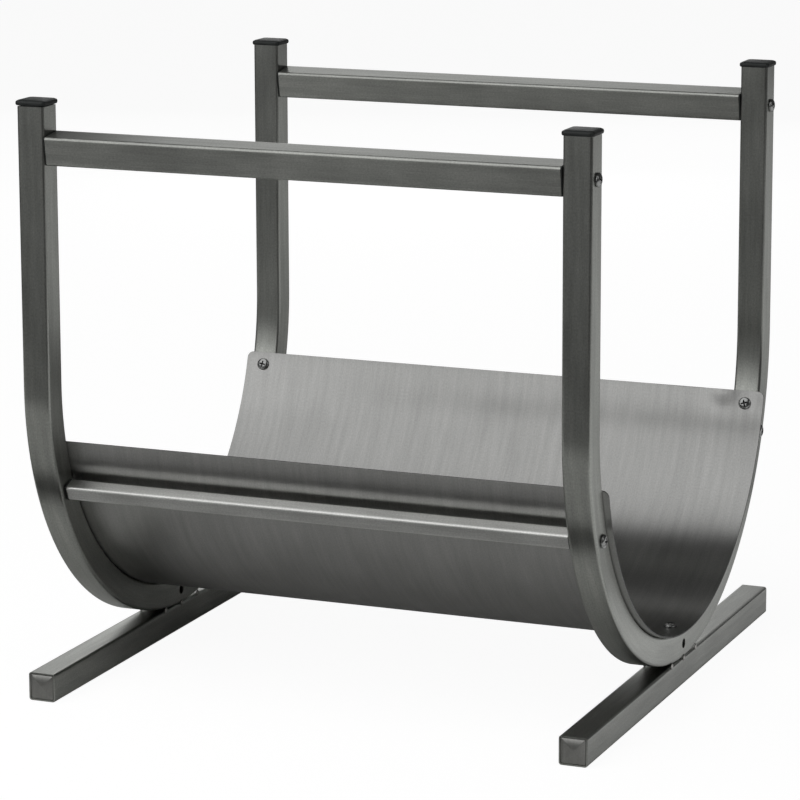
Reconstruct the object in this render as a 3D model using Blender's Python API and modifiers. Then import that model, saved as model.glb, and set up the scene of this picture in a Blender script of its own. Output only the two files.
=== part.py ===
"""Firewood log rack: two square-tube hoops on flat feet, joined by four bars, with a curved sheet as a cradle.

Metres, +Z up. X runs along the bars and the logs, and -Y is the front. The origin is on the floor under the
middle of the rack. Angles on the bend are measured from its front horizontal, down and round to the rear one.
"""

import math

import bmesh
import bpy
from mathutils import Matrix, Vector

# Overall sizes
WIDTH = 0.521
DEPTH = 0.512
POST_TOP = 0.527
FOOT_LENGTH = 0.514

# Square tube, one inch
TUBE = 0.0254
TUBE_WALL = 0.0015
TUBE_CORNER = 0.0025
TUBE_CORNER_STEPS = 2

# Clearance that neighbouring solids keep
GAP = 0.0003

# Edges sharper than this stay sharp when they are shaded
SHARP_ANGLE = math.radians(40)

# Hoop bend, a half circle that stands on the foot
BEND_MID = (DEPTH - TUBE) / 2
BEND_INNER = BEND_MID - TUBE / 2
BEND_Z = TUBE + GAP + DEPTH / 2
HOOP_X = (WIDTH - TUBE) / 2
ARC_STEPS = 40

# Bars. The top ones are turned on their bolts, with their upper faces towards the front.
TOP_BAR_Z = 0.4906
TOP_BAR_TURN = {"front": math.radians(8), "rear": math.radians(10)}
LOW_BAR = 0.014
LOW_BAR_WALL = 0.0012
LOW_BAR_CORNER = 0.0018
LOW_BAR_ANGLE = math.radians(23.3)
PLUG_FLANGE = 0.002
PLUG_STEM = 0.014
BAR_END = WIDTH / 2 - TUBE - PLUG_FLANGE - 2 * GAP

# Cradle sheet
SHEET = 0.0012
SHEET_RADIUS = BEND_INNER - 0.0004
SHEET_WIDTH = 0.531
SHEET_FRONT_ANGLE = math.radians(13.4)
SHEET_REAR_ANGLE = math.pi - math.radians(14.8)
SHEET_SCREW_ANGLE = math.radians(18.0)
SHEET_CORNER = 0.006
SHEET_STEPS = 32
SHEET_CORNER_SEGMENTS = 3

# Fasteners: M6 through the hoops into the bars, and M6 through the sheet into rivet nuts. The heads' curve and
# recess are shares of the head's radius across, and of its height up.
BOLT = {"head": 0.012, "height": 0.0032, "shank": 0.006, "length": 0.0400}
SCREW = {"head": 0.0116, "height": 0.0030, "shank": 0.006, "length": 0.0100}
PAN_HEAD_CURVE = ((0.0, 1.0), (0.55, 0.94), (0.88, 0.68), (1.0, 0.30), (1.0, 0.0))
RECESS = {"reach": 0.52, "width": 0.22, "depth": 0.6}
BOLT_HOLE = BOLT["shank"] + 2 * GAP
SCREW_HOLE = SCREW["shank"] + 2 * GAP
NUT_BARREL = 0.0088
NUT_BULB = 0.0110
NUT_LENGTH = 0.0090
NUT_HOLE = NUT_BARREL + 2 * GAP
NUT_SHOULDER = 0.0008
NUT_BULB_LENGTH = 0.0030
ROUND_STEPS = 12

# Drain hole through both side walls at the foot of the bend
DRAIN_HOLE = 0.0088

# Post caps, whose levels are given as (height, how much narrower than the cap), and foot end plates
CAP_SIZE = 0.0284
CAP_HEIGHT = 0.0052
CAP_STEM = 0.016
CAP_FOOT = (0.0, 0.0012)
CAP_LIP = (0.0010, 0.0)
CAP_SHOULDER = (0.0032, 0.0)
CAP_DOME = ((0.0045, 0.0024), (0.0050, 0.0080), (CAP_HEIGHT, 0.0180))
PLATE = 0.002

# Tack welds along the seam between hoop and foot
TACK_PITCH = 0.034
TACK_SIZE = (0.0016, 0.0040, 0.0058)
TACK_SEGMENTS = (8, 6)

SIDES = {"left": -1, "right": 1}
FACES = {"front": -1, "rear": 1}


def clear_scene():
    for obj in list(bpy.data.objects):
        bpy.data.objects.remove(obj)


def new_collection(name):
    collection = bpy.data.collections.new(name)
    bpy.context.scene.collection.children.link(collection)
    return collection


def make_material(name, color, metallic, roughness):
    material = bpy.data.materials.new(name)
    material.use_nodes = True
    shader = material.node_tree.nodes["Principled BSDF"]
    shader.inputs["Base Color"].default_value = (*color, 1)
    shader.inputs["Metallic"].default_value = metallic
    shader.inputs["Roughness"].default_value = roughness
    return material


def place(name, mesh, matrix, material):
    """Adds one sub-part, parented to the rack's empty."""
    obj = bpy.data.objects.new(name, mesh)
    if not mesh.materials:
        mesh.materials.append(material)
    parts.objects.link(obj)
    obj.parent = rack
    obj.matrix_world = matrix
    return obj


def add_work_object(data):
    """Adds an object to work on: a cutter, a guide or a shape that is baked before it is placed."""
    obj = bpy.data.objects.new("work", data)
    obj.hide_render = True
    obj.display_type = "WIRE"
    cutters.objects.link(obj)
    return obj


def baked(obj):
    """Returns the object's mesh with its modifiers applied, and removes the object."""
    depsgraph = bpy.context.evaluated_depsgraph_get()
    mesh = bpy.data.meshes.new_from_object(obj.evaluated_get(depsgraph))
    bpy.data.objects.remove(obj)
    mesh.shade_smooth()
    mesh.set_sharp_from_angle(angle=SHARP_ANGLE)
    return mesh


def mesh_from(bm):
    """Turns a worked mesh into mesh data with its faces outward."""
    bmesh.ops.recalc_face_normals(bm, faces=bm.faces)
    mesh = bpy.data.meshes.new("work")
    bm.to_mesh(mesh)
    bm.free()
    return mesh


def along_x(x, y, z):
    """A frame at a point, with its local Z along world X."""
    return Matrix.Translation((x, y, z)) @ Matrix.Rotation(math.pi / 2, 4, "Y")


def on_bend(angle, radius, x=0.0):
    """A frame on the bend whose local Z points at the bend's axis and whose local X is world X."""
    inward = Vector((0, math.cos(angle), math.sin(angle)))
    across = Vector((1, 0, 0))
    matrix = Matrix((across, inward.cross(across), inward)).transposed().to_4x4()
    matrix.translation = Vector((x, 0, BEND_Z)) - radius * inward
    return matrix


def cylinders(specs):
    """One mesh of separate cylinders, each given as (diameter, length, frame)."""
    bm = bmesh.new()
    for diameter, length, frame in specs:
        bmesh.ops.create_cone(
            bm,
            cap_ends=True,
            segments=ROUND_STEPS,
            radius1=diameter / 2,
            radius2=diameter / 2,
            depth=length,
            matrix=frame,
        )
    return mesh_from(bm)


def cut(obj, cutter_mesh):
    """Cuts the object with a Boolean, and returns its baked mesh."""
    cutter = add_work_object(cutter_mesh)
    boolean = obj.modifiers.new("cut", "BOOLEAN")
    boolean.operation = "DIFFERENCE"
    boolean.solver = "EXACT"
    boolean.object = cutter
    mesh = baked(obj)
    bpy.data.objects.remove(cutter)
    return mesh


def rounded_square(size, corner, steps=TUBE_CORNER_STEPS):
    """The points of a square with rounded corners, anticlockwise about the origin."""
    points = []
    for quarter in range(4):
        turn = Matrix.Rotation(quarter * math.pi / 2, 3, "Z")
        centre = Vector((size / 2 - corner, size / 2 - corner, 0))
        for step in range(steps + 1):
            angle = math.pi / 2 * step / steps
            points.append(turn @ (centre + corner * Vector((math.cos(angle), math.sin(angle), 0))))
    return points


def poly_curve(points, closed=False):
    curve = bpy.data.curves.new("work", "CURVE")
    curve.dimensions = "2D" if closed else "3D"
    curve.fill_mode = "NONE" if closed else "FULL"
    spline = curve.splines.new("POLY")
    spline.points.add(len(points) - 1)
    for spot, point in zip(spline.points, points):
        spot.co = (*point, 1)
    spline.use_cyclic_u = closed
    return curve


def square_tube(path, size, wall, corner):
    """A hollow square tube, open at both ends, swept along a path; it comes back ready to cut or bake."""
    profile = add_work_object(poly_curve(rounded_square(size, corner), closed=True))
    sweep = poly_curve(path)
    sweep.bevel_mode = "OBJECT"
    sweep.bevel_object = profile
    skin = add_work_object(sweep)
    skin_mesh = baked(skin)
    bpy.data.objects.remove(profile)
    bm = bmesh.new()
    bm.from_mesh(skin_mesh)
    tube = add_work_object(mesh_from(bm))
    solidify = tube.modifiers.new("wall", "SOLIDIFY")
    solidify.thickness = wall
    solidify.offset = -1
    solidify.use_even_offset = True
    return tube


def stepped_block(levels, corner):
    """A solid made by extruding a rounded square up through levels of (height, size)."""
    height, size = levels[0]
    bm = bmesh.new()
    outline = [bm.verts.new((point.x, point.y, height)) for point in rounded_square(size, corner)]
    top = bm.faces.new(outline)
    for height, next_size in levels[1:]:
        grown = bmesh.ops.extrude_face_region(bm, geom=[top, *top.edges, *top.verts])["geom"]
        top = next(item for item in grown if isinstance(item, bmesh.types.BMFace))
        for vert in top.verts:
            vert.co = (vert.co.x * next_size / size, vert.co.y * next_size / size, height)
        size = next_size
    return mesh_from(bm)


def turned(profile, closed=False):
    """A solid of revolution about Z from a profile of (radius, height) that runs down its outer side."""
    bm = bmesh.new()
    verts = [bm.verts.new((radius, 0, height)) for radius, height in profile]
    for start, end in zip(verts, verts[1:]):
        bm.edges.new((start, end))
    if closed:
        bm.edges.new((verts[-1], verts[0]))
    mesh = bpy.data.meshes.new("work")
    bm.to_mesh(mesh)
    bm.free()
    obj = add_work_object(mesh)
    screw = obj.modifiers.new("turn", "SCREW")
    screw.steps = ROUND_STEPS
    screw.render_steps = ROUND_STEPS
    screw.use_merge_vertices = True
    screw.merge_threshold = 0.00001
    return obj


def hoop_mesh():
    """A U of square tube in the plane X = 0: two posts and a half-circle bend, with its holes."""
    path = [Vector((0, -BEND_MID, POST_TOP))]
    for step in range(ARC_STEPS + 1):
        path.append(on_bend(math.pi * step / ARC_STEPS, BEND_MID).translation)
    path.append(Vector((0, BEND_MID, POST_TOP)))
    tube = square_tube(path, TUBE, TUBE_WALL, TUBE_CORNER)
    through = 2 * TUBE
    holes = [(DRAIN_HOLE, through, along_x(0, 0, BEND_Z - BEND_MID))]
    for y_sign in FACES.values():
        holes.append((BOLT_HOLE, through, along_x(0, y_sign * BEND_MID, TOP_BAR_Z)))
    for angle in (LOW_BAR_ANGLE, math.pi - LOW_BAR_ANGLE):
        holes.append((BOLT_HOLE, through, along_x(*on_bend(angle, BEND_MID).translation)))
    for angle in screw_angles():
        holes.append((NUT_HOLE, 4 * TUBE_WALL, on_bend(angle, BEND_INNER)))
    return cut(tube, cylinders(holes))


def foot_mesh():
    """A straight tube along Y under one hoop."""
    half = Vector((0, FOOT_LENGTH / 2, 0))
    return baked(square_tube([-half, half], TUBE, TUBE_WALL, TUBE_CORNER))


def foot_plate_mesh():
    """The plate that closes one end of a foot, set inside the tube."""
    size = TUBE - 2 * TUBE_WALL - 2 * GAP
    return stepped_block([(0, size), (PLATE, size)], TUBE_CORNER - TUBE_WALL)


def bar_mesh(size, wall, corner):
    """A straight tube along X between the plug flanges."""
    half = Vector((BAR_END, 0, 0))
    return baked(square_tube([-half, half], size, wall, corner))


def plug_mesh(size, wall, corner):
    """A bar's end plug: a flange against the hoop and a stem in the bar, bored for the bolt. The flange is up."""
    stem = size - 2 * wall - 2 * GAP
    levels = [(-PLUG_STEM, stem), (0, stem), (0, size), (PLUG_FLANGE, size)]
    plug = add_work_object(stepped_block(levels, corner))
    bore = cylinders([(BOLT_HOLE, 4 * PLUG_STEM, Matrix.Identity(4))])
    return cut(plug, bore)


def post_cap_mesh():
    """A pillow-shaped cap with a stem that goes into the post."""
    stem = TUBE - 2 * TUBE_WALL - 2 * GAP
    levels = [(-CAP_STEM, stem), (0, stem)]
    for height, inset in (CAP_FOOT, CAP_LIP, CAP_SHOULDER, *CAP_DOME):
        levels.append((height, CAP_SIZE - inset))
    return stepped_block(levels, TUBE_CORNER)


def cross_mesh(reach, width, floor_height, top_height):
    """The cutter for a cross recess."""
    bm = bmesh.new()
    outline = []
    for quarter in range(4):
        turn = Matrix.Rotation(quarter * math.pi / 2, 3, "Z")
        for x, y in ((width / 2, width / 2), (width / 2, reach), (-width / 2, reach)):
            outline.append(bm.verts.new(turn @ Vector((x, y, floor_height))))
    floor = bm.faces.new(outline)
    grown = bmesh.ops.extrude_face_region(bm, geom=[floor])["geom"]
    for vert in grown:
        if isinstance(vert, bmesh.types.BMVert):
            vert.co.z = top_height
    return mesh_from(bm)


def pan_head_mesh(size):
    """A pan-head screw with a cross recess. The underside of its head is at z = 0, and the head is up."""
    head = size["head"] / 2
    height = size["height"]
    shank = size["shank"] / 2
    length = size["length"]
    profile = [(across * head, up * height) for across, up in PAN_HEAD_CURVE]
    profile += [(shank, 0), (shank, -length), (0, -length)]
    above = 2 * height
    floor = (1 - RECESS["depth"]) * height
    recess = cross_mesh(RECESS["reach"] * head, RECESS["width"] * head, floor, above)
    return cut(turned(profile), recess)


def rivet_nut_mesh():
    """A set rivet nut: barrel, and the bulb that grips the wall from inside. Its mouth is at z = 0, facing up."""
    bore = SCREW_HOLE / 2
    barrel = NUT_BARREL / 2
    bulb = NUT_BULB / 2
    bulb_top = -TUBE_WALL - 2 * GAP
    profile = [
        (bore, 0),
        (barrel, 0),
        (barrel, bulb_top),
        (bulb, bulb_top - NUT_SHOULDER),
        (barrel, bulb_top - NUT_BULB_LENGTH),
        (barrel, -NUT_LENGTH),
        (bore, -NUT_LENGTH),
    ]
    return baked(turned(profile, closed=True))


def tack_weld_mesh():
    """A bead across the seam, as half of a stretched ball whose flat side faces the tubes at x = 0."""
    bm = bmesh.new()
    stretch = Matrix.Diagonal((2 * TACK_SIZE[0], TACK_SIZE[1], TACK_SIZE[2], 1))
    around, up = TACK_SEGMENTS
    bmesh.ops.create_uvsphere(bm, u_segments=around, v_segments=up, radius=0.5, matrix=stretch)
    everything = bm.verts[:] + bm.edges[:] + bm.faces[:]
    bmesh.ops.bisect_plane(bm, geom=everything, plane_co=(0, 0, 0), plane_no=(1, 0, 0), clear_inner=True)
    rim = [edge for edge in bm.edges if edge.is_boundary]
    bmesh.ops.holes_fill(bm, edges=rim, sides=0)
    return mesh_from(bm)


def screw_angles():
    """Where the sheet is screwed to a hoop: near its front edge, at the bottom, and near its rear edge."""
    return (SHEET_SCREW_ANGLE, math.pi / 2, math.pi - SHEET_SCREW_ANGLE)


def sheet_stations():
    """The angles at which the bent sheet is stepped, with a flat strip as deep as its corners at each end."""
    strip = SHEET_CORNER / SHEET_RADIUS
    first = SHEET_FRONT_ANGLE + strip
    last = SHEET_REAR_ANGLE - strip
    even = [first + (last - first) * step / SHEET_STEPS for step in range(SHEET_STEPS + 1)]
    return [SHEET_FRONT_ANGLE] + even + [SHEET_REAR_ANGLE]


def sheet_mesh():
    """The cradle: a flat strip with rounded corners, bent round the bend, thickened inward and drilled."""
    stations = sheet_stations()
    bm = bmesh.new()
    rows = []
    for angle in stations:
        rows.append([bm.verts.new((x_sign * SHEET_WIDTH / 2, angle * SHEET_RADIUS, 0)) for x_sign in (-1, 1)])
    for near, far in zip(rows, rows[1:]):
        bm.faces.new((near[0], near[1], far[1], far[0]))
    corners = rows[0] + rows[-1]
    bmesh.ops.bevel(
        bm, geom=corners, offset=SHEET_CORNER, segments=SHEET_CORNER_SEGMENTS, profile=0.5, affect="VERTICES"
    )
    for vert in bm.verts:
        vert.co = on_bend(vert.co.y / SHEET_RADIUS, SHEET_RADIUS, vert.co.x).translation
    mesh = bpy.data.meshes.new("work")
    bm.to_mesh(mesh)
    bm.free()
    sheet = add_work_object(mesh)
    solidify = sheet.modifiers.new("thickness", "SOLIDIFY")
    solidify.thickness = SHEET
    solidify.offset = 1
    holes = []
    for x_sign in SIDES.values():
        for angle in screw_angles():
            holes.append((SCREW_HOLE, 10 * SHEET, on_bend(angle, SHEET_RADIUS, x_sign * HOOP_X)))
    return cut(sheet, cylinders(holes))


def build_frame():
    """Hoops, feet and the plates that close the feet."""
    hoop = hoop_mesh()
    foot = foot_mesh()
    plate = foot_plate_mesh()
    for side, x_sign in SIDES.items():
        x = x_sign * HOOP_X
        place(f"{side}_hoop", hoop, Matrix.Translation((x, 0, 0)), tube_steel)
        place(f"{side}_foot", foot, Matrix.Translation((x, 0, TUBE / 2)), tube_steel)
        for face, y_sign in FACES.items():
            turn = Matrix.Rotation(-y_sign * math.pi / 2, 4, "X")
            spot = Matrix.Translation((x, y_sign * (FOOT_LENGTH / 2 - PLATE), TUBE / 2))
            place(f"{side}_foot_{face}_plate", plate, spot @ turn, tube_steel)


def build_tack_welds():
    bead = tack_weld_mesh()
    for side, x_sign in SIDES.items():
        for wall, wall_sign in (("outer", x_sign), ("inner", -x_sign)):
            x = x_sign * HOOP_X + wall_sign * (TUBE / 2 + GAP)
            turn = Matrix.Rotation(0 if wall_sign > 0 else math.pi, 4, "Z")
            for number, step in enumerate((-1, 0, 1), 1):
                rise = DEPTH / 2 - math.sqrt((DEPTH / 2) ** 2 - (step * TACK_PITCH) ** 2)
                spot = Matrix.Translation((x, step * TACK_PITCH, TUBE + rise / 2))
                place(f"{side}_{wall}_tack_weld_{number}", bead, spot @ turn, weld_steel)


def bar_places():
    """Each bar's name, and its frame: at mid length, with local X along the bar."""
    places = {}
    for face, y_sign in FACES.items():
        turn = Matrix.Rotation(TOP_BAR_TURN[face], 4, "X")
        places[f"{face}_top_bar"] = Matrix.Translation((0, y_sign * BEND_MID, TOP_BAR_Z)) @ turn
        angle = LOW_BAR_ANGLE if y_sign < 0 else math.pi - LOW_BAR_ANGLE
        places[f"{face}_lower_bar"] = on_bend(angle, BEND_MID)
    return places


def build_bars():
    """Bars, their end plugs, and the bolts that hold them between the hoops."""
    sizes = {
        "top": (TUBE, TUBE_WALL, TUBE_CORNER),
        "lower": (LOW_BAR, LOW_BAR_WALL, LOW_BAR_CORNER),
    }
    bars = {level: bar_mesh(*size) for level, size in sizes.items()}
    plugs = {level: plug_mesh(*size) for level, size in sizes.items()}
    bolt = pan_head_mesh(BOLT)
    for name, frame in bar_places().items():
        level = "top" if name.endswith("top_bar") else "lower"
        place(name, bars[level], frame, tube_steel)
        for side, x_sign in SIDES.items():
            outward = Matrix.Rotation(x_sign * math.pi / 2, 4, "Y")
            plug_spot = Matrix.Translation((x_sign * (BAR_END + GAP), 0, 0))
            bolt_spot = Matrix.Translation((x_sign * (WIDTH / 2 + GAP), 0, 0))
            place(f"{name}_{side}_plug", plugs[level], frame @ plug_spot @ outward, black_plastic)
            place(f"{name}_{side}_bolt", bolt, frame @ bolt_spot @ outward, dark_screw)


def build_cradle():
    """The sheet, its screws, and the rivet nuts in the hoops that they go into."""
    screw = pan_head_mesh(SCREW)
    nut = rivet_nut_mesh()
    place("cradle_sheet", sheet_mesh(), Matrix.Identity(4), sheet_steel)
    for side, x_sign in SIDES.items():
        for spot, angle in zip(("front", "bottom", "rear"), screw_angles()):
            x = x_sign * HOOP_X
            head_radius = SHEET_RADIUS - SHEET - GAP
            place(f"sheet_screw_{side}_{spot}", screw, on_bend(angle, head_radius, x), dark_screw)
            place(f"rivet_nut_{side}_{spot}", nut, on_bend(angle, BEND_INNER, x), nut_steel)


def build_post_caps():
    cap = post_cap_mesh()
    for side, x_sign in SIDES.items():
        for face, y_sign in FACES.items():
            spot = Matrix.Translation((x_sign * HOOP_X, y_sign * BEND_MID, POST_TOP + GAP))
            place(f"{side}_{face}_post_cap", cap, spot, black_plastic)


clear_scene()
parts = new_collection("firewood_log_rack")
cutters = new_collection("cutters")
rack = bpy.data.objects.new("rack_origin", None)
parts.objects.link(rack)

tube_steel = make_material("brushed_tube_steel", (0.20, 0.20, 0.19), 1.0, 0.35)
sheet_steel = make_material("brushed_sheet_steel", (0.24, 0.24, 0.23), 1.0, 0.32)
weld_steel = make_material("weld_steel", (0.25, 0.24, 0.23), 1.0, 0.45)
black_plastic = make_material("black_plastic", (0.020, 0.022, 0.022), 0.0, 0.40)
dark_screw = make_material("black_nickel", (0.06, 0.06, 0.06), 1.0, 0.25)
nut_steel = make_material("zinc_plated_steel", (0.55, 0.55, 0.53), 1.0, 0.35)

build_frame()
build_tack_welds()
build_bars()
build_cradle()
build_post_caps()
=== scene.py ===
"""Looks of the firewood log rack: fine meshes and brushed-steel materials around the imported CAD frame.

Metres, +Z up, X along the bars, -Y the front. Angles on the bend run from its front horizontal, down and
round to the rear one. Each steel piece carries a UV map named brush: U across the brush lines and V along
them.
"""

import math

import bmesh
import bpy
import numpy as np
from mathutils import Matrix, Vector, noise


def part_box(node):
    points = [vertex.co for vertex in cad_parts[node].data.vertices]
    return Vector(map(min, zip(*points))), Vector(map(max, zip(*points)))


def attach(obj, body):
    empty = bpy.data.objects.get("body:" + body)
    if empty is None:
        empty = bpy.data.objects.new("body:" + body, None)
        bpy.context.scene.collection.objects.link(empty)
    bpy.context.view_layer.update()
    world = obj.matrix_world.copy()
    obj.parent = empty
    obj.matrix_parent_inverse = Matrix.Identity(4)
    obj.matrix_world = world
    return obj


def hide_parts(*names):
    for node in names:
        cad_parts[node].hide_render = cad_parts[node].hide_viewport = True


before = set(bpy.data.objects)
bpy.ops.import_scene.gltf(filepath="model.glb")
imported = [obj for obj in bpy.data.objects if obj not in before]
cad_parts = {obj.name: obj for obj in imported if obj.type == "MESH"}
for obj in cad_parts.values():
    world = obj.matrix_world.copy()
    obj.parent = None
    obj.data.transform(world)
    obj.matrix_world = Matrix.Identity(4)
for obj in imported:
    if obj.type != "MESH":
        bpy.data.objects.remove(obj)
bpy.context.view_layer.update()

# Sizes read from the frame. TUBE is the outer size of the square tube.
hoop_low, hoop_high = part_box("right_hoop")
bar_low, bar_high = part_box("front_top_bar")
sheet_low, sheet_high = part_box("cradle_sheet")
TUBE = hoop_high.x - hoop_low.x
WIDTH = 2 * hoop_high.x
SHEET_WIDTH = sheet_high.x - sheet_low.x
DEPTH = hoop_high.y - hoop_low.y
POST_TOP = hoop_high.z
HOOP_X = WIDTH / 2 - TUBE / 2
BEND_Z = hoop_low.z + DEPTH / 2
BEND_MID = (DEPTH - TUBE) / 2
POST_INNER_SIDE = WIDTH / 2 - TUBE
TOP_BAR_Z = (bar_low.z + bar_high.z) / 2
FOOT_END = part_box("right_foot")[1].y

# Sizes that the frame's boxes don't show. GAP is left between pieces that fit into one another.
GAP = 0.0003
TUBE_WALL = 0.0015
TUBE_CORNER = 0.0024
BARS = {
    "top": {"size": TUBE, "wall": TUBE_WALL, "corner": TUBE_CORNER, "flange": 0.0012},
    "lower": {"size": 0.014, "wall": 0.0012, "corner": 0.0024, "flange": 0.0020},
}
TOP_BAR_TURN = {"front": math.radians(8), "rear": math.radians(10)}
PLATE_THICKNESS = 0.002
PLUG_STEM = 0.014
SOFT_EDGE = 0.0003
DRAIN_HOLE = 0.0088

# The cradle sheet. Each bulge beside its tight rear right screw is given as its place along X from the
# screw, its distance from the sheet's rear edge, how far it stands in, and its spread. The faint ripples are
# given as their height, how many a metre holds across and along the sheet, and where their noise is taken.
SHEET_THICKNESS = 0.0012
SHEET_TO_HOOP = 0.0004
SHEET_RADIUS = BEND_MID - TUBE / 2 - SHEET_TO_HOOP
SHEET_CORNER = 0.006
SHEET_EDGE = 0.00025
SHEET_FRONT_ANGLE = math.radians(13.4)
SHEET_REAR_ANGLE = math.pi - math.radians(14.8)
SCREW_PULL = 0.0001
SCREW_PULL_SPREAD = 0.010
REAR_RIGHT_BULGES = ((-0.021, 0.003, 0.0019, 0.013), (0.0085, 0.010, 0.0005, 0.006))
RIPPLE = {"height": 0.00012, "across": 9, "along": 7, "slice": 3.0}

# Fasteners. A head's rim and cross recess are shares of its radius across and of its height up, and its dome
# follows two powers. The floor of the recess is a share of its mouth. A face is in the recess when it lies
# within the zone across, and by more than the margin under the dome; those faces get painted shade, near
# black.
BOLT = {"head": 0.012, "height": 0.0032, "shank": 0.006, "length": 0.040}
SCREW = {"head": 0.0116, "height": 0.0030, "shank": 0.006, "length": 0.010}
HEAD_EDGE = 0.00015
HEAD_RIM = 0.34
DOME_ACROSS_POWER = 0.85
DOME_UP_POWER = 0.9
RECESS = {"reach": 0.56, "width": 0.26, "depth": 0.72, "top": 1.05}
RECESS_FLOOR = {"width": 0.7, "reach": 0.45}
RECESS_ZONE = 0.6
RECESS_MARGIN = 0.06
TWIST_STEP = 37

# Post caps. CAP_ROUND and CAP_LIP are the rounded edge's radii across and up, and the pillow-shaped top
# follows a power.
CAP_SIZE = 0.0284
CAP_HEIGHT = 0.0052
CAP_STEM = 0.016
CAP_ROUND = 0.0016
CAP_LIP = 0.0019
CAP_POWER = 0.4
CAP_CREST = 0.001
PROUD_CAP = 0.0009

# Weld beads: their spread over the tubes, the height and number of their lumps, and how much these differ
BEAD_SPREAD = 1.2
LUMP_HEIGHT = 0.22
LUMPS_PER_BEAD = 3.1
LUMP_VARIETY = 90

# How finely the meshes are stepped
ARC_STEPS = 96
LEG_STEPS = 6
CORNER_STEPS = 5
ROUND_STEPS = 40
HEAD_STEPS = 10
CAP_EDGE_STEPS = 8
CAP_DOME_STEPS = 12
SHEET_COLUMNS = 96
SHEET_ROWS = 150
SHEET_CORNER_STEPS = 8

# The strip beside a rounded corner that keeps its shading off the flat sides, in metres and as a share
SHADING_STRIP = 0.0012
STRIP_SHARE = 0.02

# Distances so small that they count as nothing
MERGE = 0.000002
DEGENERATE = 0.000001
STEP_UP = 0.00001

# The brushed steel's layers: how many features a metre holds across and along the brush lines, where the
# noise is taken, its detail and roughness, and its share of the steel's streak
BRUSH_LAYERS = {
    "grain": {"across": 760, "along": 520, "offset": 11, "detail": 3.0, "roughness": 0.7, "share": 1.6},
    "lines": {"across": 1500, "along": 40, "offset": 0, "detail": 2.0, "roughness": 0.5, "share": 0.7},
    "streaks": {"across": 170, "along": 9, "offset": 3, "detail": 3.0, "roughness": 0.5, "share": 1.0},
    "blotches": {"across": 24, "along": 15, "offset": 7, "detail": 3.0, "roughness": 0.5, "share": 0.9},
}
NOISE_LOW = 0.3
NOISE_HIGH = 0.7
BRUSH_ROUGHNESS_SWING = 0.02
BRUSH_ANISOTROPY = 0.75

# Studio
CAMERA_PLACE = (1.2094, -2.9710, 0.9351)
CAMERA_YAW = -0.3900
CAMERA_PITCH = 0.1915
CAMERA_ROLL = -0.0029
CAMERA_LENS = 162.8
CAMERA_SENSOR = 36
CAMERA_SHIFT = -0.1
RACK_MIDDLE = Vector((0, 0, 0.25))
BACKDROP_Z = -0.0002
TABLE_Z = 0.0001
CARD_Z = 0.0004

SIDES = {"left": -1, "right": 1}
FACES = {"front": -1, "rear": 1}


# ---------------------------------------------------------------- mesh helpers

def new_mesh(name, verts, faces, uvs=None):
    """A mesh from points and faces, with the brush UVs given for each face's corners."""
    mesh = bpy.data.meshes.new(name)
    mesh.from_pydata([tuple(v) for v in verts], [], faces)
    if uvs is not None:
        layer = mesh.uv_layers.new(name="brush")
        layer.data.foreach_set("uv", np.array(uvs, np.float32).ravel())
    return mesh


def mesh_from(bm, name):
    """Turns a bmesh into a mesh."""
    mesh = bpy.data.meshes.new(name)
    bm.to_mesh(mesh)
    bm.free()
    return mesh


def smooth(mesh, sharp=35):
    """Shades a mesh smooth, but for the edges that turn by more than so many degrees."""
    mesh.shade_smooth()
    mesh.set_sharp_from_angle(angle=math.radians(sharp))


def covered(mesh, *materials):
    """The mesh, with these materials in place of any that it had."""
    mesh.materials.clear()
    for material in materials:
        mesh.materials.append(material)
    return mesh


class Skin:
    """Collects grids of points as quads, with a UV for each grid point."""

    def __init__(self):
        self.verts = []
        self.faces = []
        self.uvs = []

    def add(self, points, uvs, flip=False):
        """Adds a grid: points and uvs are both indexed by row and column."""
        rows, columns = len(points), len(points[0])
        base = len(self.verts)
        for row in points:
            self.verts.extend(row)
        for i in range(rows - 1):
            for j in range(columns - 1):
                spots = [(i, j), (i, j + 1), (i + 1, j + 1), (i + 1, j)]
                if flip:
                    spots.reverse()
                self.faces.append([base + a * columns + b for a, b in spots])
                self.uvs.extend(uvs[a][b] for a, b in spots)

    def mesh(self, name, sharp=35):
        """The grids as one mesh, joined where they meet."""
        mesh = new_mesh(name, self.verts, self.faces, self.uvs)
        bm = bmesh.new()
        bm.from_mesh(mesh)
        bmesh.ops.remove_doubles(bm, verts=bm.verts, dist=MERGE)
        bmesh.ops.recalc_face_normals(bm, faces=bm.faces)
        bm.to_mesh(mesh)
        bm.free()
        smooth(mesh, sharp)
        return mesh


def add_object(name, data):
    """A new object in the scene."""
    obj = bpy.data.objects.new(name, data)
    bpy.context.scene.collection.objects.link(obj)
    return obj


def add_piece(name, mesh, node, place):
    """Places a piece that stands for a CAD node and rides on the rack's one body."""
    piece = add_object(name, mesh)
    piece.matrix_world = place
    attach(piece, "root")
    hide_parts(node)
    return piece


def boolean_cut(mesh, cutter_mesh):
    """Cuts a mesh with another one, and returns the result."""
    body = add_object("cut_body", mesh)
    cutter = add_object("cutter", cutter_mesh)
    cut = body.modifiers.new("cut", "BOOLEAN")
    cut.operation = "DIFFERENCE"
    cut.solver = "EXACT"
    cut.object = cutter
    depsgraph = bpy.context.evaluated_depsgraph_get()
    result = bpy.data.meshes.new_from_object(body.evaluated_get(depsgraph))
    for obj in (body, cutter):
        bpy.data.objects.remove(obj)
    smooth(result)
    return result


def along_x(x, y, z):
    """A frame at a point, with its local Z along world X."""
    return Matrix.Translation((x, y, z)) @ Matrix.Rotation(math.pi / 2, 4, "Y")


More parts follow.
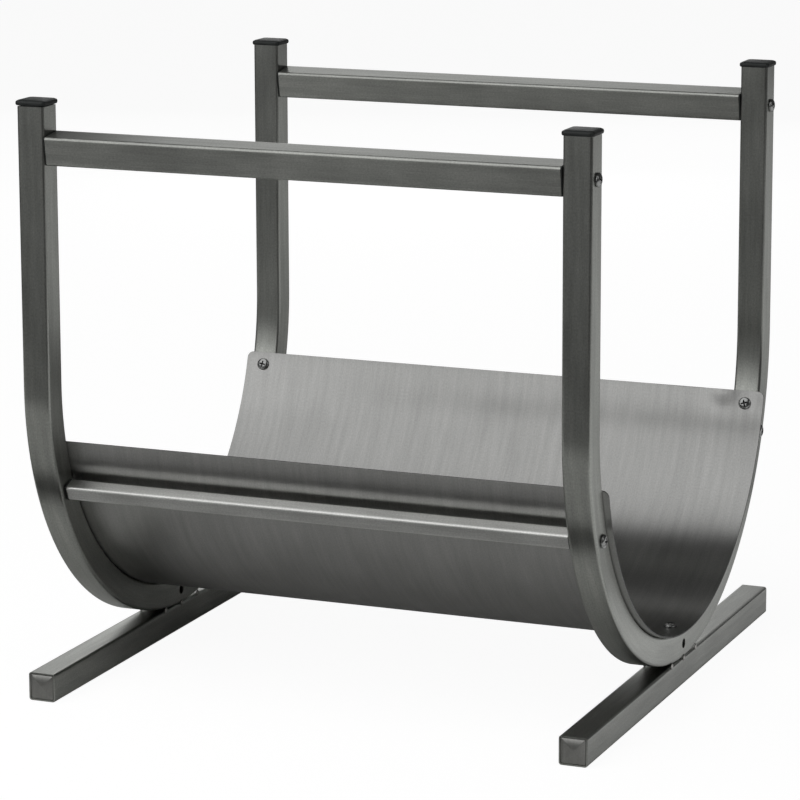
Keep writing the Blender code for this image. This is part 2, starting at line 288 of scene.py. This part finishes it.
def on_bend(angle, radius, x=0.0):
    """A frame on the bend whose local Z points at the bend's axis and whose local X is world X."""
    inward = Vector((0, math.cos(angle), math.sin(angle)))
    across = Vector((1, 0, 0))
    matrix = Matrix((across, inward.cross(across), inward)).transposed().to_4x4()
    matrix.translation = Vector((x, 0, BEND_Z)) - radius * inward
    return matrix


def bend_angle(node):
    """Where a CAD node sits on the bend."""
    low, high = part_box(node)
    middle = (low + high) / 2
    return math.atan2(BEND_Z - middle.z, -middle.y)


def outline(size, corner, strip=SHADING_STRIP):
    """A closed rounded square, as (a, b, distance round it).

    Points a strip's width from each corner keep the corner's shading off the flat sides.
    """
    points = []
    half = size / 2 - corner
    for quarter in range(4):
        turn = Matrix.Rotation(quarter * math.pi / 2, 2)
        side = [Vector((half + corner, along)) for along in (-half + strip, 0, half - strip)]
        for step in range(CORNER_STEPS + 1):
            angle = math.pi / 2 * step / CORNER_STEPS
            side.append(Vector((half + corner * math.cos(angle), half + corner * math.sin(angle))))
        points.extend(turn @ point for point in side)
    points.append(points[0])
    distance = 0.0
    found = [(points[0].x, points[0].y, 0.0)]
    for before, point in zip(points, points[1:]):
        distance += (point - before).length
        found.append((point.x, point.y, distance))
    return found


def tube_mesh(name, spine, size, wall, corner):
    """A hollow square tube. The spine is a list of (centre, first cross direction, second one)."""
    skin = Skin()
    walls = []
    for inset in (0.0, wall):
        ring = outline(size - 2 * inset, corner - inset)
        points, uvs, run = [], [], 0.0
        for k, (centre, first, second) in enumerate(spine):
            if k:
                run += (centre - spine[k - 1][0]).length
            points.append([centre + a * first + b * second for a, b, _ in ring])
            uvs.append([(distance, run) for _, _, distance in ring])
        skin.add(points, uvs, flip=inset > 0)
        walls.append((points, uvs))
    for end in (0, -1):
        skin.add([points[end] for points, _ in walls], [uvs[end] for _, uvs in walls])
    return skin.mesh(name)


def inside_size(size, wall):
    """The size of what fits into a square tube, with a gap all round."""
    return size - 2 * wall - 2 * GAP


def stacked(levels, corner_share=0.1):
    """A solid of rounded squares stacked as (height, size), closed at both ends."""
    skin = Skin()
    points, uvs = [], []
    for height, size in levels:
        ring = outline(size, size * corner_share, strip=size * STRIP_SHARE)
        points.append([Vector((a, b, height)) for a, b, _ in ring])
        uvs.append([(distance, height) for _, _, distance in ring])
    skin.add(points, uvs)
    for row, height in ((points[0], levels[0][0]), (points[-1], levels[-1][0])):
        middle = Vector((0, 0, height))
        skin.add([row, [middle] * len(row)], [[(p.x, p.y) for p in row], [(0, 0)] * len(row)])
    mesh = skin.mesh("stack")
    bm = bmesh.new()
    bm.from_mesh(mesh)
    bmesh.ops.dissolve_degenerate(bm, dist=DEGENERATE, edges=bm.edges)
    bmesh.ops.recalc_face_normals(bm, faces=bm.faces)
    bm.to_mesh(mesh)
    bm.free()
    smooth(mesh, sharp=50)
    return mesh


def lathe(profile, steps=ROUND_STEPS):
    """A solid of revolution about Z from (radius, height) points."""
    bm = bmesh.new()
    verts = [bm.verts.new((radius, 0, height)) for radius, height in profile]
    edges = [bm.edges.new(pair) for pair in zip(verts, verts[1:])]
    bmesh.ops.spin(
        bm,
        geom=verts + edges,
        cent=(0, 0, 0),
        axis=(0, 0, 1),
        angle=2 * math.pi,
        steps=steps,
        use_merge=True,
    )
    bmesh.ops.remove_doubles(bm, verts=bm.verts, dist=MERGE)
    bmesh.ops.recalc_face_normals(bm, faces=bm.faces)
    mesh = mesh_from(bm, "lathe")
    smooth(mesh)
    return mesh


# ---------------------------------------------------------------- materials

def nodes_of(name):
    """A new material, with its node tree and its shader."""
    material = bpy.data.materials.new(name)
    material.use_nodes = True
    tree = material.node_tree
    return material, tree, tree.nodes["Principled BSDF"]


def add_noise(tree, vector, scale, detail, roughness=0.55):
    """Noise at a vector, with scale features to its unit. It runs from 0 to 1, and mostly near 0.5."""
    node = tree.nodes.new("ShaderNodeTexNoise")
    node.inputs["Scale"].default_value = scale
    node.inputs["Detail"].default_value = detail
    node.inputs["Roughness"].default_value = roughness
    tree.links.new(vector, node.inputs["Vector"])
    return node.outputs["Fac"]


def stretched(tree, vector, across, along, offset):
    """The vector scaled so that one unit of noise is 1/across metres wide and 1/along metres long."""
    node = tree.nodes.new("ShaderNodeMapping")
    node.inputs["Scale"].default_value = (across, along, 1)
    node.inputs["Location"].default_value = (offset, offset, 0)
    tree.links.new(vector, node.inputs["Vector"])
    return node.outputs["Vector"]


def ranged(tree, pattern, low, high):
    """A noise pattern with its middle range, where most of it lies, taken to low..high."""
    node = tree.nodes.new("ShaderNodeMapRange")
    node.inputs["From Min"].default_value = NOISE_LOW
    node.inputs["From Max"].default_value = NOISE_HIGH
    node.inputs["To Min"].default_value = low
    node.inputs["To Max"].default_value = high
    tree.links.new(pattern, node.inputs["Value"])
    return node.outputs["Result"]


def multiplied(tree, first, second):
    """The product of a number or a socket, and a socket."""
    node = tree.nodes.new("ShaderNodeMath")
    node.operation = "MULTIPLY"
    if isinstance(first, float):
        node.inputs[0].default_value = first
    else:
        tree.links.new(first, node.inputs[0])
    tree.links.new(second, node.inputs[1])
    return node.outputs["Value"]


def tinted(tree, color, factor):
    """The colour multiplied by a factor that varies over the surface."""
    node = tree.nodes.new("ShaderNodeVectorMath")
    node.operation = "SCALE"
    node.inputs[0].default_value = color
    tree.links.new(factor, node.inputs["Scale"])
    return node.outputs["Vector"]


def add_bump(tree, shader, height, strength, distance):
    """Gives the shader a relief that is distance metres deep at full strength."""
    node = tree.nodes.new("ShaderNodeBump")
    node.inputs["Strength"].default_value = strength
    node.inputs["Distance"].default_value = distance
    tree.links.new(height, node.inputs["Height"])
    tree.links.new(node.outputs["Normal"], shader.inputs["Normal"])


def brushed_steel(name, color, roughness, streak, seed):
    """Dark lacquered steel, brushed along V: an even grain, fine lines, soft wider streaks and blotches."""
    material, tree, shader = nodes_of(name)
    uv = tree.nodes.new("ShaderNodeUVMap")
    uv.uv_map = "brush"
    patterns = {}
    shade = 1.0
    for layer, look in BRUSH_LAYERS.items():
        spot = stretched(tree, uv.outputs["UV"], look["across"], look["along"], seed + look["offset"])
        pattern = add_noise(tree, spot, scale=1.0, detail=look["detail"], roughness=look["roughness"])
        swing = look["share"] * streak
        shade = multiplied(tree, shade, ranged(tree, pattern, 1 - swing, 1 + swing))
        patterns[layer] = pattern
    tree.links.new(tinted(tree, color, shade), shader.inputs["Base Color"])
    swing = BRUSH_ROUGHNESS_SWING
    rough = ranged(tree, patterns["blotches"], roughness - swing, roughness + swing)
    tree.links.new(rough, shader.inputs["Roughness"])
    shader.inputs["Metallic"].default_value = 1.0
    shader.inputs["Anisotropic"].default_value = BRUSH_ANISOTROPY
    tangent = tree.nodes.new("ShaderNodeTangent")
    tangent.direction_type = "UV_MAP"
    tangent.uv_map = "brush"
    tree.links.new(tangent.outputs["Tangent"], shader.inputs["Tangent"])
    return material


def moulded_plastic(name, color):
    """Charcoal plastic with a fine moulded grain and a slightly dusty, uneven shine."""
    material, tree, shader = nodes_of(name)
    place = tree.nodes.new("ShaderNodeTexCoord").outputs["Object"]
    grain = add_noise(tree, place, scale=2600, detail=2.0)
    dust = add_noise(tree, place, scale=180, detail=4.0)
    shade = ranged(tree, dust, low=0.8, high=1.25)
    tree.links.new(tinted(tree, color, shade), shader.inputs["Base Color"])
    tree.links.new(ranged(tree, dust, low=0.42, high=0.54), shader.inputs["Roughness"])
    shader.inputs["Specular IOR Level"].default_value = 0.4
    add_bump(tree, shader, grain, strength=0.3, distance=0.00003)
    return material


def plated_metal(name, color, roughness):
    """A plated fastener: nearly even, with faint marks from handling."""
    material, tree, shader = nodes_of(name)
    place = tree.nodes.new("ShaderNodeTexCoord").outputs["Object"]
    marks = add_noise(tree, place, scale=900, detail=4.0)
    shade = ranged(tree, marks, low=0.75, high=1.25)
    rough = ranged(tree, marks, low=roughness - 0.05, high=roughness + 0.08)
    tree.links.new(tinted(tree, color, shade), shader.inputs["Base Color"])
    tree.links.new(rough, shader.inputs["Roughness"])
    shader.inputs["Metallic"].default_value = 1.0
    add_bump(tree, shader, marks, strength=0.2, distance=0.00003)
    return material


def weld_metal(name, color):
    """A weld bead that was brushed over: coarse ripples and bright and dark patches."""
    material, tree, shader = nodes_of(name)
    place = tree.nodes.new("ShaderNodeTexCoord").outputs["Object"]
    ripples = add_noise(tree, place, scale=700, detail=3.0)
    patches = add_noise(tree, place, scale=300, detail=2.0)
    shade = ranged(tree, patches, low=0.6, high=1.3)
    tree.links.new(tinted(tree, color, shade), shader.inputs["Base Color"])
    tree.links.new(ranged(tree, ripples, low=0.30, high=0.50), shader.inputs["Roughness"])
    shader.inputs["Metallic"].default_value = 1.0
    add_bump(tree, shader, ripples, strength=0.5, distance=0.0002)
    return material


def studio_surface(name, color, glow=0.0, specular=0.0):
    """A matt material for the studio's own surfaces, which can glow white."""
    material, _, shader = nodes_of(name)
    shader.inputs["Base Color"].default_value = (*color, 1)
    shader.inputs["Roughness"].default_value = 1.0
    shader.inputs["Specular IOR Level"].default_value = specular
    shader.inputs["Emission Color"].default_value = (1, 1, 1, 1)
    shader.inputs["Emission Strength"].default_value = glow
    return material


hoop_steel = brushed_steel("hoop_steel", (0.393, 0.403, 0.378), roughness=0.31, streak=0.11, seed=1.0)
bar_steel = brushed_steel("bar_steel", (0.402, 0.411, 0.387), roughness=0.31, streak=0.11, seed=5.0)
# The lower bars are the same steel painted much lighter than the other bars: painted light, for the brighter
# reflections they catch.
lower_bar_steel = brushed_steel(
    "lower_bar_steel", (0.70, 0.705, 0.685), roughness=0.31, streak=0.08, seed=17.0
)
plate_steel = brushed_steel("plate_steel", (0.36, 0.36, 0.345), roughness=0.38, streak=0.06, seed=9.0)
sheet_steel = brushed_steel("sheet_steel", (0.405, 0.405, 0.396), roughness=0.31, streak=0.07, seed=13.0)
# The sheet's cut edges are painted near black: painted shade for the dark lines along them.
cut_edge_shade_steel = plated_metal("cut_edge_shade_steel", (0.10, 0.10, 0.098), roughness=0.45)
black_plastic = moulded_plastic("black_plastic", (0.030, 0.034, 0.033))
dark_metal = plated_metal("black_nickel", (0.36, 0.365, 0.36), roughness=0.19)
# The screws' cross recess is painted near black: painted shade in the recess.
recess_shade_metal = plated_metal("screw_recess", (0.035, 0.035, 0.035), roughness=0.40)
zinc_metal = plated_metal("zinc_plate", (0.55, 0.55, 0.53), roughness=0.32)
bead_metal = weld_metal("weld_bead", (0.52, 0.51, 0.49))


# ---------------------------------------------------------------- pieces

screw_angles = {spot: bend_angle(f"sheet_screw_left_{spot}") for spot in ("front", "bottom", "rear")}


def hoop_spine():
    """The U's centreline, with the tube's cross directions: along X, and outward in the U's plane."""
    across = Vector((1, 0, 0))
    spine = []
    for step in range(LEG_STEPS):
        height = POST_TOP + (BEND_Z - POST_TOP) * step / LEG_STEPS
        spine.append((Vector((0, -BEND_MID, height)), across, Vector((0, -1, 0))))
    for step in range(ARC_STEPS + 1):
        angle = math.pi * step / ARC_STEPS
        outward = Vector((0, -math.cos(angle), -math.sin(angle)))
        spine.append((Vector((0, 0, BEND_Z)) + BEND_MID * outward, across, outward))
    for step in range(1, LEG_STEPS + 1):
        height = BEND_Z + (POST_TOP - BEND_Z) * step / LEG_STEPS
        spine.append((Vector((0, BEND_MID, height)), across, Vector((0, 1, 0))))
    return spine


def straight_spine(start, end, first, second):
    """A straight tube's centreline, with its two cross directions."""
    return [(start, first, second), ((start + end) / 2, first, second), (end, first, second)]


def drain_cutter():
    """A round bar along X, through the lowest point of the bend."""
    bm = bmesh.new()
    bmesh.ops.create_cone(
        bm,
        cap_ends=True,
        segments=ROUND_STEPS,
        radius1=DRAIN_HOLE / 2,
        radius2=DRAIN_HOLE / 2,
        depth=2 * TUBE,
        matrix=along_x(0, 0, BEND_Z - BEND_MID),
    )
    return mesh_from(bm, "drain_cutter")


def make_hoops():
    """The two U-shaped hoops, each with its drain hole."""
    tube = tube_mesh("hoop", hoop_spine(), TUBE, TUBE_WALL, TUBE_CORNER)
    mesh = covered(boolean_cut(tube, drain_cutter()), hoop_steel)
    for side, x_sign in SIDES.items():
        place = Matrix.Translation((x_sign * HOOP_X, 0, 0))
        add_piece(f"{side}_hoop_steel", mesh, f"{side}_hoop", place)


def foot_plate():
    """The plate that closes a foot's end, with its outer face up."""
    size = inside_size(TUBE, TUBE_WALL)
    levels = [
        (0, size),
        (PLATE_THICKNESS - SOFT_EDGE, size),
        (PLATE_THICKNESS, size - 2 * SOFT_EDGE),
    ]
    return covered(stacked(levels, corner_share=0.05), plate_steel)


def make_feet():
    """The two feet and the plates in their ends."""
    end = Vector((0, FOOT_END, 0))
    spine = straight_spine(-end, end, Vector((1, 0, 0)), Vector((0, 0, 1)))
    tube = covered(tube_mesh("foot", spine, TUBE, TUBE_WALL, TUBE_CORNER), bar_steel)
    plate = foot_plate()
    for side, x_sign in SIDES.items():
        x = x_sign * HOOP_X
        middle = Matrix.Translation((x, 0, TUBE / 2))
        add_piece(f"{side}_foot_steel", tube, f"{side}_foot", middle)
        for face, y_sign in FACES.items():
            outward = Matrix.Rotation(-y_sign * math.pi / 2, 4, "X")
            seat = Matrix.Translation((x, y_sign * (FOOT_END - PLATE_THICKNESS), TUBE / 2))
            node = f"{side}_foot_{face}_plate"
            add_piece(f"{node}_steel", plate, node, seat @ outward)


def bar_plug(bar):
    """A bar's end plug, with its flange up."""
    size, flange = bar["size"], bar["flange"]
    stem = inside_size(size, bar["wall"])
    levels = [
        (-PLUG_STEM, stem),
        (0, stem),
        (STEP_UP, size - 2 * SOFT_EDGE),
        (SOFT_EDGE, size),
        (flange - SOFT_EDGE, size),
        (flange, size - 2 * SOFT_EDGE),
    ]
    return covered(stacked(levels), black_plastic)


def bar_end(bar):
    """How far from the rack's middle a bar's tube ends and its plugs' flanges begin."""
    return POST_INNER_SIDE - GAP - bar["flange"]


def bar_tube(bar, steel):
    """A bar's tube, along X."""
    end = Vector((bar_end(bar), 0, 0))
    spine = straight_spine(-end, end, Vector((0, 1, 0)), Vector((0, 0, 1)))
    return covered(tube_mesh("bar", spine, bar["size"], bar["wall"], bar["corner"]), steel)


def make_bars():
    """The four bars between the hoops, their plugs and their bolts."""
    steels = {"top": bar_steel, "lower": lower_bar_steel}
    tubes = {level: bar_tube(bar, steels[level]) for level, bar in BARS.items()}
    plugs = {level: bar_plug(bar) for level, bar in BARS.items()}
    bolt = pan_head(BOLT)
    for face, y_sign in FACES.items():
        top_middle = Matrix.Translation((0, y_sign * BEND_MID, TOP_BAR_Z))
        places = {
            "top": top_middle @ Matrix.Rotation(TOP_BAR_TURN[face], 4, "X"),
            "lower": on_bend(bend_angle(f"{face}_lower_bar"), BEND_MID),
        }
        for level, place in places.items():
            node = f"{face}_{level}_bar"
            add_piece(f"{node}_steel", tubes[level], node, place)
            for side, x_sign in SIDES.items():
                outward = Matrix.Rotation(x_sign * math.pi / 2, 4, "Y")
                plug_at = place @ Matrix.Translation((x_sign * bar_end(BARS[level]), 0, 0)) @ outward
                bolt_at = place @ Matrix.Translation((x_sign * (WIDTH / 2 + GAP), 0, 0)) @ outward
                end = f"{node}_{side}"
                add_piece(f"{end}_plug_plastic", plugs[level], f"{end}_plug", plug_at)
                twist = fastener_twist(node + side)
                add_piece(f"{end}_bolt_fine", bolt, f"{end}_bolt", bolt_at @ twist)


def fastener_twist(name):
    """A turn about Z for a fastener's cross recess. It goes by the name, so it is the same each run."""
    degrees = sum(ord(letter) for letter in name) * TWIST_STEP % 90
    return Matrix.Rotation(math.radians(degrees), 4, "Z")


def cross_cutter(reach, width, depth, top):
    """A tapered cross for a screw's recess. Its narrow floor is depth under its top."""
    bm = bmesh.new()
    floor, mouth = [], []
    for quarter in range(4):
        turn = Matrix.Rotation(quarter * math.pi / 2, 3, "Z")
        for x, y in ((width / 2, width / 2), (width / 2, reach), (-width / 2, reach)):
            low = Vector((x * RECESS_FLOOR["width"], y * RECESS_FLOOR["reach"], top - depth))
            floor.append(bm.verts.new(turn @ low))
            mouth.append(bm.verts.new(turn @ Vector((x, y, top))))
    bm.faces.new(reversed(floor))
    bm.faces.new(mouth)
    count = len(floor)
    for i in range(count):
        j = (i + 1) % count
        bm.faces.new((floor[i], floor[j], mouth[j], mouth[i]))
    bmesh.ops.recalc_face_normals(bm, faces=bm.faces)
    return mesh_from(bm, "cross")


def pan_head(size):
    """A pan-head screw, head up, with the underside of its head at z = 0. Its cross recess gets painted
    shade.
    """
    radius = size["head"] / 2
    height = size["height"]
    shank = size["shank"] / 2
    rim = HEAD_RIM * height

    def dome_height(sine):
        return rim + (height - rim) * math.sqrt(1 - sine ** 2) ** DOME_UP_POWER

    profile = [(0, height)]
    for step in range(1, HEAD_STEPS):
        sine = math.sin(math.pi / 2 * step / HEAD_STEPS)
        profile.append((radius * sine ** DOME_ACROSS_POWER, dome_height(sine)))
    profile += [(radius, rim), (radius, HEAD_EDGE), (radius - HEAD_EDGE, 0)]
    profile += [(shank, 0), (shank, -size["length"]), (0, -size["length"])]
    recess = cross_cutter(
        RECESS["reach"] * radius,
        RECESS["width"] * radius,
        RECESS["depth"] * height,
        RECESS["top"] * height,
    )
    mesh = covered(boolean_cut(lathe(profile), recess), dark_metal, recess_shade_metal)
    # Faces sunk in the cross recess get the near-black painted shade.
    for polygon in mesh.polygons:
        share = min(polygon.center.xy.length / radius, 1)
        sunk = polygon.center.z < dome_height(share ** (1 / DOME_ACROSS_POWER)) - RECESS_MARGIN * height
        polygon.material_index = 1 if sunk and share < RECESS_ZONE and polygon.center.z > 0 else 0
    return mesh


def inset_at(x, angle):
    """How far the sheet is drawn onto the hoops around its screws, less its bulges beside the tight one."""
    pull = 0.0
    for x_sign in SIDES.values():
        for at in screw_angles.values():
            away = math.hypot(x - x_sign * HOOP_X, (angle - at) * SHEET_RADIUS)
            pull += SCREW_PULL * math.exp(-((away / SCREW_PULL_SPREAD) ** 2))
    for x_offset, from_edge, amount, spread in REAR_RIGHT_BULGES:
        away = math.hypot(x - HOOP_X - x_offset, (angle - SHEET_REAR_ANGLE) * SHEET_RADIUS + from_edge)
        pull -= amount * math.exp(-((away / spread) ** 2))
    return pull


def sheet_point(x, row, depth):
    """A point of the bent sheet, at a depth under its outer face. The sheet ripples faintly."""
    angle = row / SHEET_RADIUS
    spot = Vector((x * RIPPLE["across"], row * RIPPLE["along"], RIPPLE["slice"]))
    radius = SHEET_RADIUS + inset_at(x, angle) + RIPPLE["height"] * noise.noise(spot) - depth
    return on_bend(angle, radius, x).translation


def sheet_rows(start, stop):
    """Distances along the bent sheet, stepped closely where its corners are round."""
    rows = []
    for step in range(SHEET_CORNER_STEPS):
        rows.append(start + SHEET_CORNER * (1 - math.cos(math.pi / 2 * step / SHEET_CORNER_STEPS)))
    inner = stop - start - 2 * SHEET_CORNER
    middle = [start + SHEET_CORNER + inner * step / SHEET_ROWS for step in range(SHEET_ROWS + 1)]
    return rows + middle + [start + stop - row for row in reversed(rows)]


def corner_inset(from_end):
    """How far the sheet's side edges are drawn in, at a distance from its front or rear edge."""
    if from_end >= SHEET_CORNER:
        return 0.0
    return SHEET_CORNER - math.sqrt(SHEET_CORNER ** 2 - (SHEET_CORNER - from_end) ** 2)


def sheet_mesh():
    """Both faces of a strip with round corners, bent round the bend, and the edges between them."""
    start, stop = SHEET_FRONT_ANGLE * SHEET_RADIUS, SHEET_REAR_ANGLE * SHEET_RADIUS
    outer, inner, uvs = [], [], []
    for row in sheet_rows(start, stop):
        half = SHEET_WIDTH / 2 - corner_inset(min(row - start, stop - row))
        xs = [half * (2 * column / SHEET_COLUMNS - 1) for column in range(SHEET_COLUMNS + 1)]
        uvs.append([(x, row) for x in xs])
        outer.append([sheet_point(x, row, 0.0) for x in xs])
        inner.append([sheet_point(x, row, SHEET_THICKNESS) for x in xs])
    skin = Skin()
    skin.add(outer, uvs)
    skin.add(inner, uvs, flip=True)
    for end in (0, -1):
        skin.add([outer[end], inner[end]], [uvs[end]] * 2)
        columns = [[line[end] for line in face] for face in (outer, inner)]
        skin.add(columns, [[line[end] for line in uvs]] * 2)
    return skin.mesh("cradle", sharp=50)


def make_sheet():
    """The cradle sheet, with its cut edges painted darker than its faces: painted shade along them."""
    mesh = covered(sheet_mesh(), sheet_steel, cut_edge_shade_steel)
    # Faces that point sideways, the cut edges, get the painted shade.
    for polygon in mesh.polygons:
        inward = Vector((0, -polygon.center.y, BEND_Z - polygon.center.z)).normalized()
        faces_sideways = abs(polygon.normal.dot(inward)) < 0.5
        polygon.material_index = 1 if faces_sideways else 0
    piece = add_piece("cradle_sheet_steel", mesh, "cradle_sheet", Matrix())
    bevel = piece.modifiers.new("edge", "BEVEL")
    bevel.width = SHEET_EDGE
    bevel.segments = 2
    bevel.limit_method = "ANGLE"
    bevel.angle_limit = math.radians(50)


def make_sheet_screws():
    """The six screws that hold the sheet, with their heads on its inner face."""
    screw = pan_head(SCREW)
    for side, x_sign in SIDES.items():
        for spot, angle in screw_angles.items():
            node = f"sheet_screw_{side}_{spot}"
            place = on_bend(angle, SHEET_RADIUS - SHEET_THICKNESS, x_sign * HOOP_X)
            add_piece(f"{node}_fine", screw, node, place @ fastener_twist(node))


def post_cap():
    """A pillow-shaped cap with a rounded edge, and a stem that goes down into the post."""
    stem = inside_size(TUBE, TUBE_WALL)
    underside = 2 * STEP_UP
    face = CAP_SIZE - CAP_ROUND
    levels = [(-CAP_STEM, stem), (0, stem), (underside, face)]
    for step in range(CAP_EDGE_STEPS + 1):
        angle = math.pi * step / CAP_EDGE_STEPS - math.pi / 2
        levels.append((CAP_LIP * (1 + math.sin(angle)) + underside, face + CAP_ROUND * math.cos(angle)))
    top = levels[-1][0]
    for step in range(1, CAP_DOME_STEPS + 1):
        share = step / CAP_DOME_STEPS
        rise = (CAP_HEIGHT - top) * math.sin(math.pi / 2 * share) ** CAP_POWER
        levels.append((top + rise, face * (1 - share) + CAP_CREST * share))
    return covered(stacked(levels, corner_share=0.12), black_plastic)


def make_post_caps():
    """The four post caps. The front left one isn't pushed right home."""
    mesh = post_cap()
    for side, x_sign in SIDES.items():
        for face, y_sign in FACES.items():
            node = f"{side}_{face}_post_cap"
            proud = PROUD_CAP if (side, face) == ("left", "front") else 0.0
            place = Matrix.Translation((x_sign * HOOP_X, y_sign * BEND_MID, POST_TOP + proud))
            add_piece(f"{node}_plastic", mesh, node, place)


def weld_bead(middle, size):
    """A ball stretched to a bead's size, with lumps that depend on where it is."""
    bm = bmesh.new()
    bmesh.ops.create_icosphere(bm, subdivisions=4, radius=0.5)
    for vert in bm.verts:
        lump = 1 + LUMP_HEIGHT * noise.noise(vert.co * LUMPS_PER_BEAD + middle * LUMP_VARIETY)
        x, y, z = vert.co
        vert.co = Vector((x * size.x * BEAD_SPREAD, y * size.y, z * size.z)) * lump
    mesh = mesh_from(bm, "bead")
    smooth(mesh, sharp=80)
    return covered(mesh, bead_metal)


def make_tack_welds():
    """Beads across the seams between hoops and feet. Each is half sunk into the tubes' sides."""
    for side, x_sign in SIDES.items():
        for wall in ("outer", "inner"):
            for number in (1, 2, 3):
                node = f"{side}_{wall}_tack_weld_{number}"
                low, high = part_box(node)
                middle, size = (low + high) / 2, high - low
                to_hoop = math.copysign(size.x / 2, x_sign * HOOP_X - middle.x)
                place = Matrix.Translation(middle + Vector((to_hoop, 0, 0)))
                add_piece(f"{node}_bead", weld_bead(middle, size), node, place)


def finish_rivet_nuts():
    """The rivet nuts are out of sight inside the hoops, so their CAD solids stay, in zinc plate."""
    for name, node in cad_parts.items():
        if name.startswith("rivet_nut"):
            covered(node.data, zinc_metal)


# ---------------------------------------------------------------- studio

def make_camera():
    """The camera, at the photograph's viewing angle."""
    data = bpy.data.cameras.new("camera")
    data.sensor_width = CAMERA_SENSOR
    data.lens = CAMERA_LENS
    data.shift_y = CAMERA_SHIFT
    camera = add_object("camera", data)
    level = math.cos(CAMERA_PITCH)
    ahead = Vector((math.sin(CAMERA_YAW) * level, math.cos(CAMERA_YAW) * level, -math.sin(CAMERA_PITCH)))
    look = ahead.to_track_quat("-Z", "Y").to_matrix().to_4x4()
    camera.matrix_world = Matrix.Translation(CAMERA_PLACE) @ look @ Matrix.Rotation(CAMERA_ROLL, 4, "Z")
    bpy.context.scene.camera = camera


def add_studio_piece(name, mesh, height, seen_by_camera=False):
    """A surface of the studio. Either only the camera sees it, or only the steel's reflections do."""
    piece = add_object(name, mesh)
    piece.location.z = height
    piece.visible_camera = seen_by_camera
    piece.visible_glossy = not seen_by_camera
    piece.visible_diffuse = False
    piece.visible_shadow = False


def make_backdrop():
    """A pale floor that curves up into a wall all round, far outside the rack. Only the camera sees it."""
    floor_rings = (0, 0.5, 1.5, 7.0)
    cove, wall = 2.0, 5.0
    cove_steps = 12
    profile = [(radius, 0) for radius in floor_rings]
    for step in range(1, cove_steps + 1):
        angle = math.pi / 2 * step / cove_steps
        profile.append((floor_rings[-1] + cove * math.sin(angle), cove * (1 - math.cos(angle))))
    profile.append((floor_rings[-1] + cove, cove + wall))
    surface = studio_surface("pale_backdrop", (0.16, 0.16, 0.16), glow=0.94)
    backdrop = covered(lathe(profile, steps=96), surface)
    add_studio_piece("backdrop", backdrop, BACKDROP_Z, seen_by_camera=True)


def rectangle(left, right, near, far):
    """A rectangle's corners, between two places along X and two along Y."""
    return [(left, near), (right, near), (right, far), (left, far)]


def flat_mesh(name, corners):
    """A flat mesh with one face."""
    return new_mesh(name, [(x, y, 0) for x, y in corners], [(0, 1, 2, 3)])


def make_table():
    """A white table top that the steel reflects, with the rack's own shadow on it."""
    surface = studio_surface("white_table", (0.85, 0.85, 0.84), specular=0.5)
    table = covered(flat_mesh("table", rectangle(-2.2, 2.2, -1.0, 2.6)), surface)
    add_studio_piece("table", table, TABLE_Z)


def make_floor_cards():
    """Painted light and shadow on the floor for the steel to reflect: glowing and black patches, most right
    of the rack.
    """
    cards = {
        "floor_beside_feet": (rectangle(0.262, 0.295, -0.80, 0.70), 0.33),
        "floor_near_hoop": (rectangle(0.295, 0.45, -0.80, 0.70), 0.60),
        "floor_to_the_right": ([(0.45, -0.80), (2.40, -0.80), (2.40, 4.50), (0.90, 4.50)], 0.62),
        "floor_in_shade": (rectangle(-0.75, 0.26, -0.405, -0.325), 0.0),
    }
    for name, (corners, brightness) in cards.items():
        surface = studio_surface(name, (0, 0, 0), glow=brightness)
        add_studio_piece(name, covered(flat_mesh(name, corners), surface), CARD_Z)


def add_softbox(name, place, size, brightness):
    """A rectangular softbox that faces the rack. Its brightness is that of its surface."""
    data = bpy.data.lights.new(name, "AREA")
    data.shape = "RECTANGLE"
    data.size, data.size_y = size
    data.energy = brightness * math.pi * size[0] * size[1]
    light = add_object(name, data)
    light.location = place
    light.rotation_mode = "QUATERNION"
    light.rotation_quaternion = (RACK_MIDDLE - Vector(place)).to_track_quat("-Z", "Y")
    light.visible_camera = False


def make_lights():
    """A dim grey world, and softboxes in front, behind and to the right."""
    world = bpy.data.worlds.new("studio")
    world.use_nodes = True
    world.node_tree.nodes["Background"].inputs["Color"].default_value = (0.06, 0.06, 0.06, 1)
    bpy.context.scene.world = world
    add_softbox("front_softbox", (-0.86, -1.42, 2.10), (2.9, 3.4), 0.92)
    add_softbox("low_front_softbox", (-0.90, -2.20, 1.63), (2.4, 1.0), 0.22)
    add_softbox("back_strip_low", (-1.14, 2.70, 0.55), (0.95, 0.8), 0.48)
    add_softbox("back_strip_high", (-1.14, 2.70, 1.60), (1.1, 1.3), 1.0)
    add_softbox("back_panel", (-0.9, 3.4, 0.9), (4.0, 1.4), 0.32)
    add_softbox("front_strip", (-0.95, -2.35, 0.82), (2.2, 0.65), 0.50)
    add_softbox("front_wall", (-1.4, -3.4, 0.25), (4.4, 1.3), 0.15)
    add_softbox("right_softbox", (2.5, -0.6, 1.7), (1.6, 1.6), 0.6)


def set_view():
    """Shows colours as they are, with no film look."""
    settings = bpy.context.scene.view_settings
    settings.view_transform = "Standard"
    settings.look = "None"


make_camera()
make_backdrop()
make_table()
make_floor_cards()
make_lights()
set_view()
make_hoops()
make_feet()
make_bars()
make_sheet()
make_sheet_screws()
make_post_caps()
make_tack_welds()
finish_rivet_nuts()
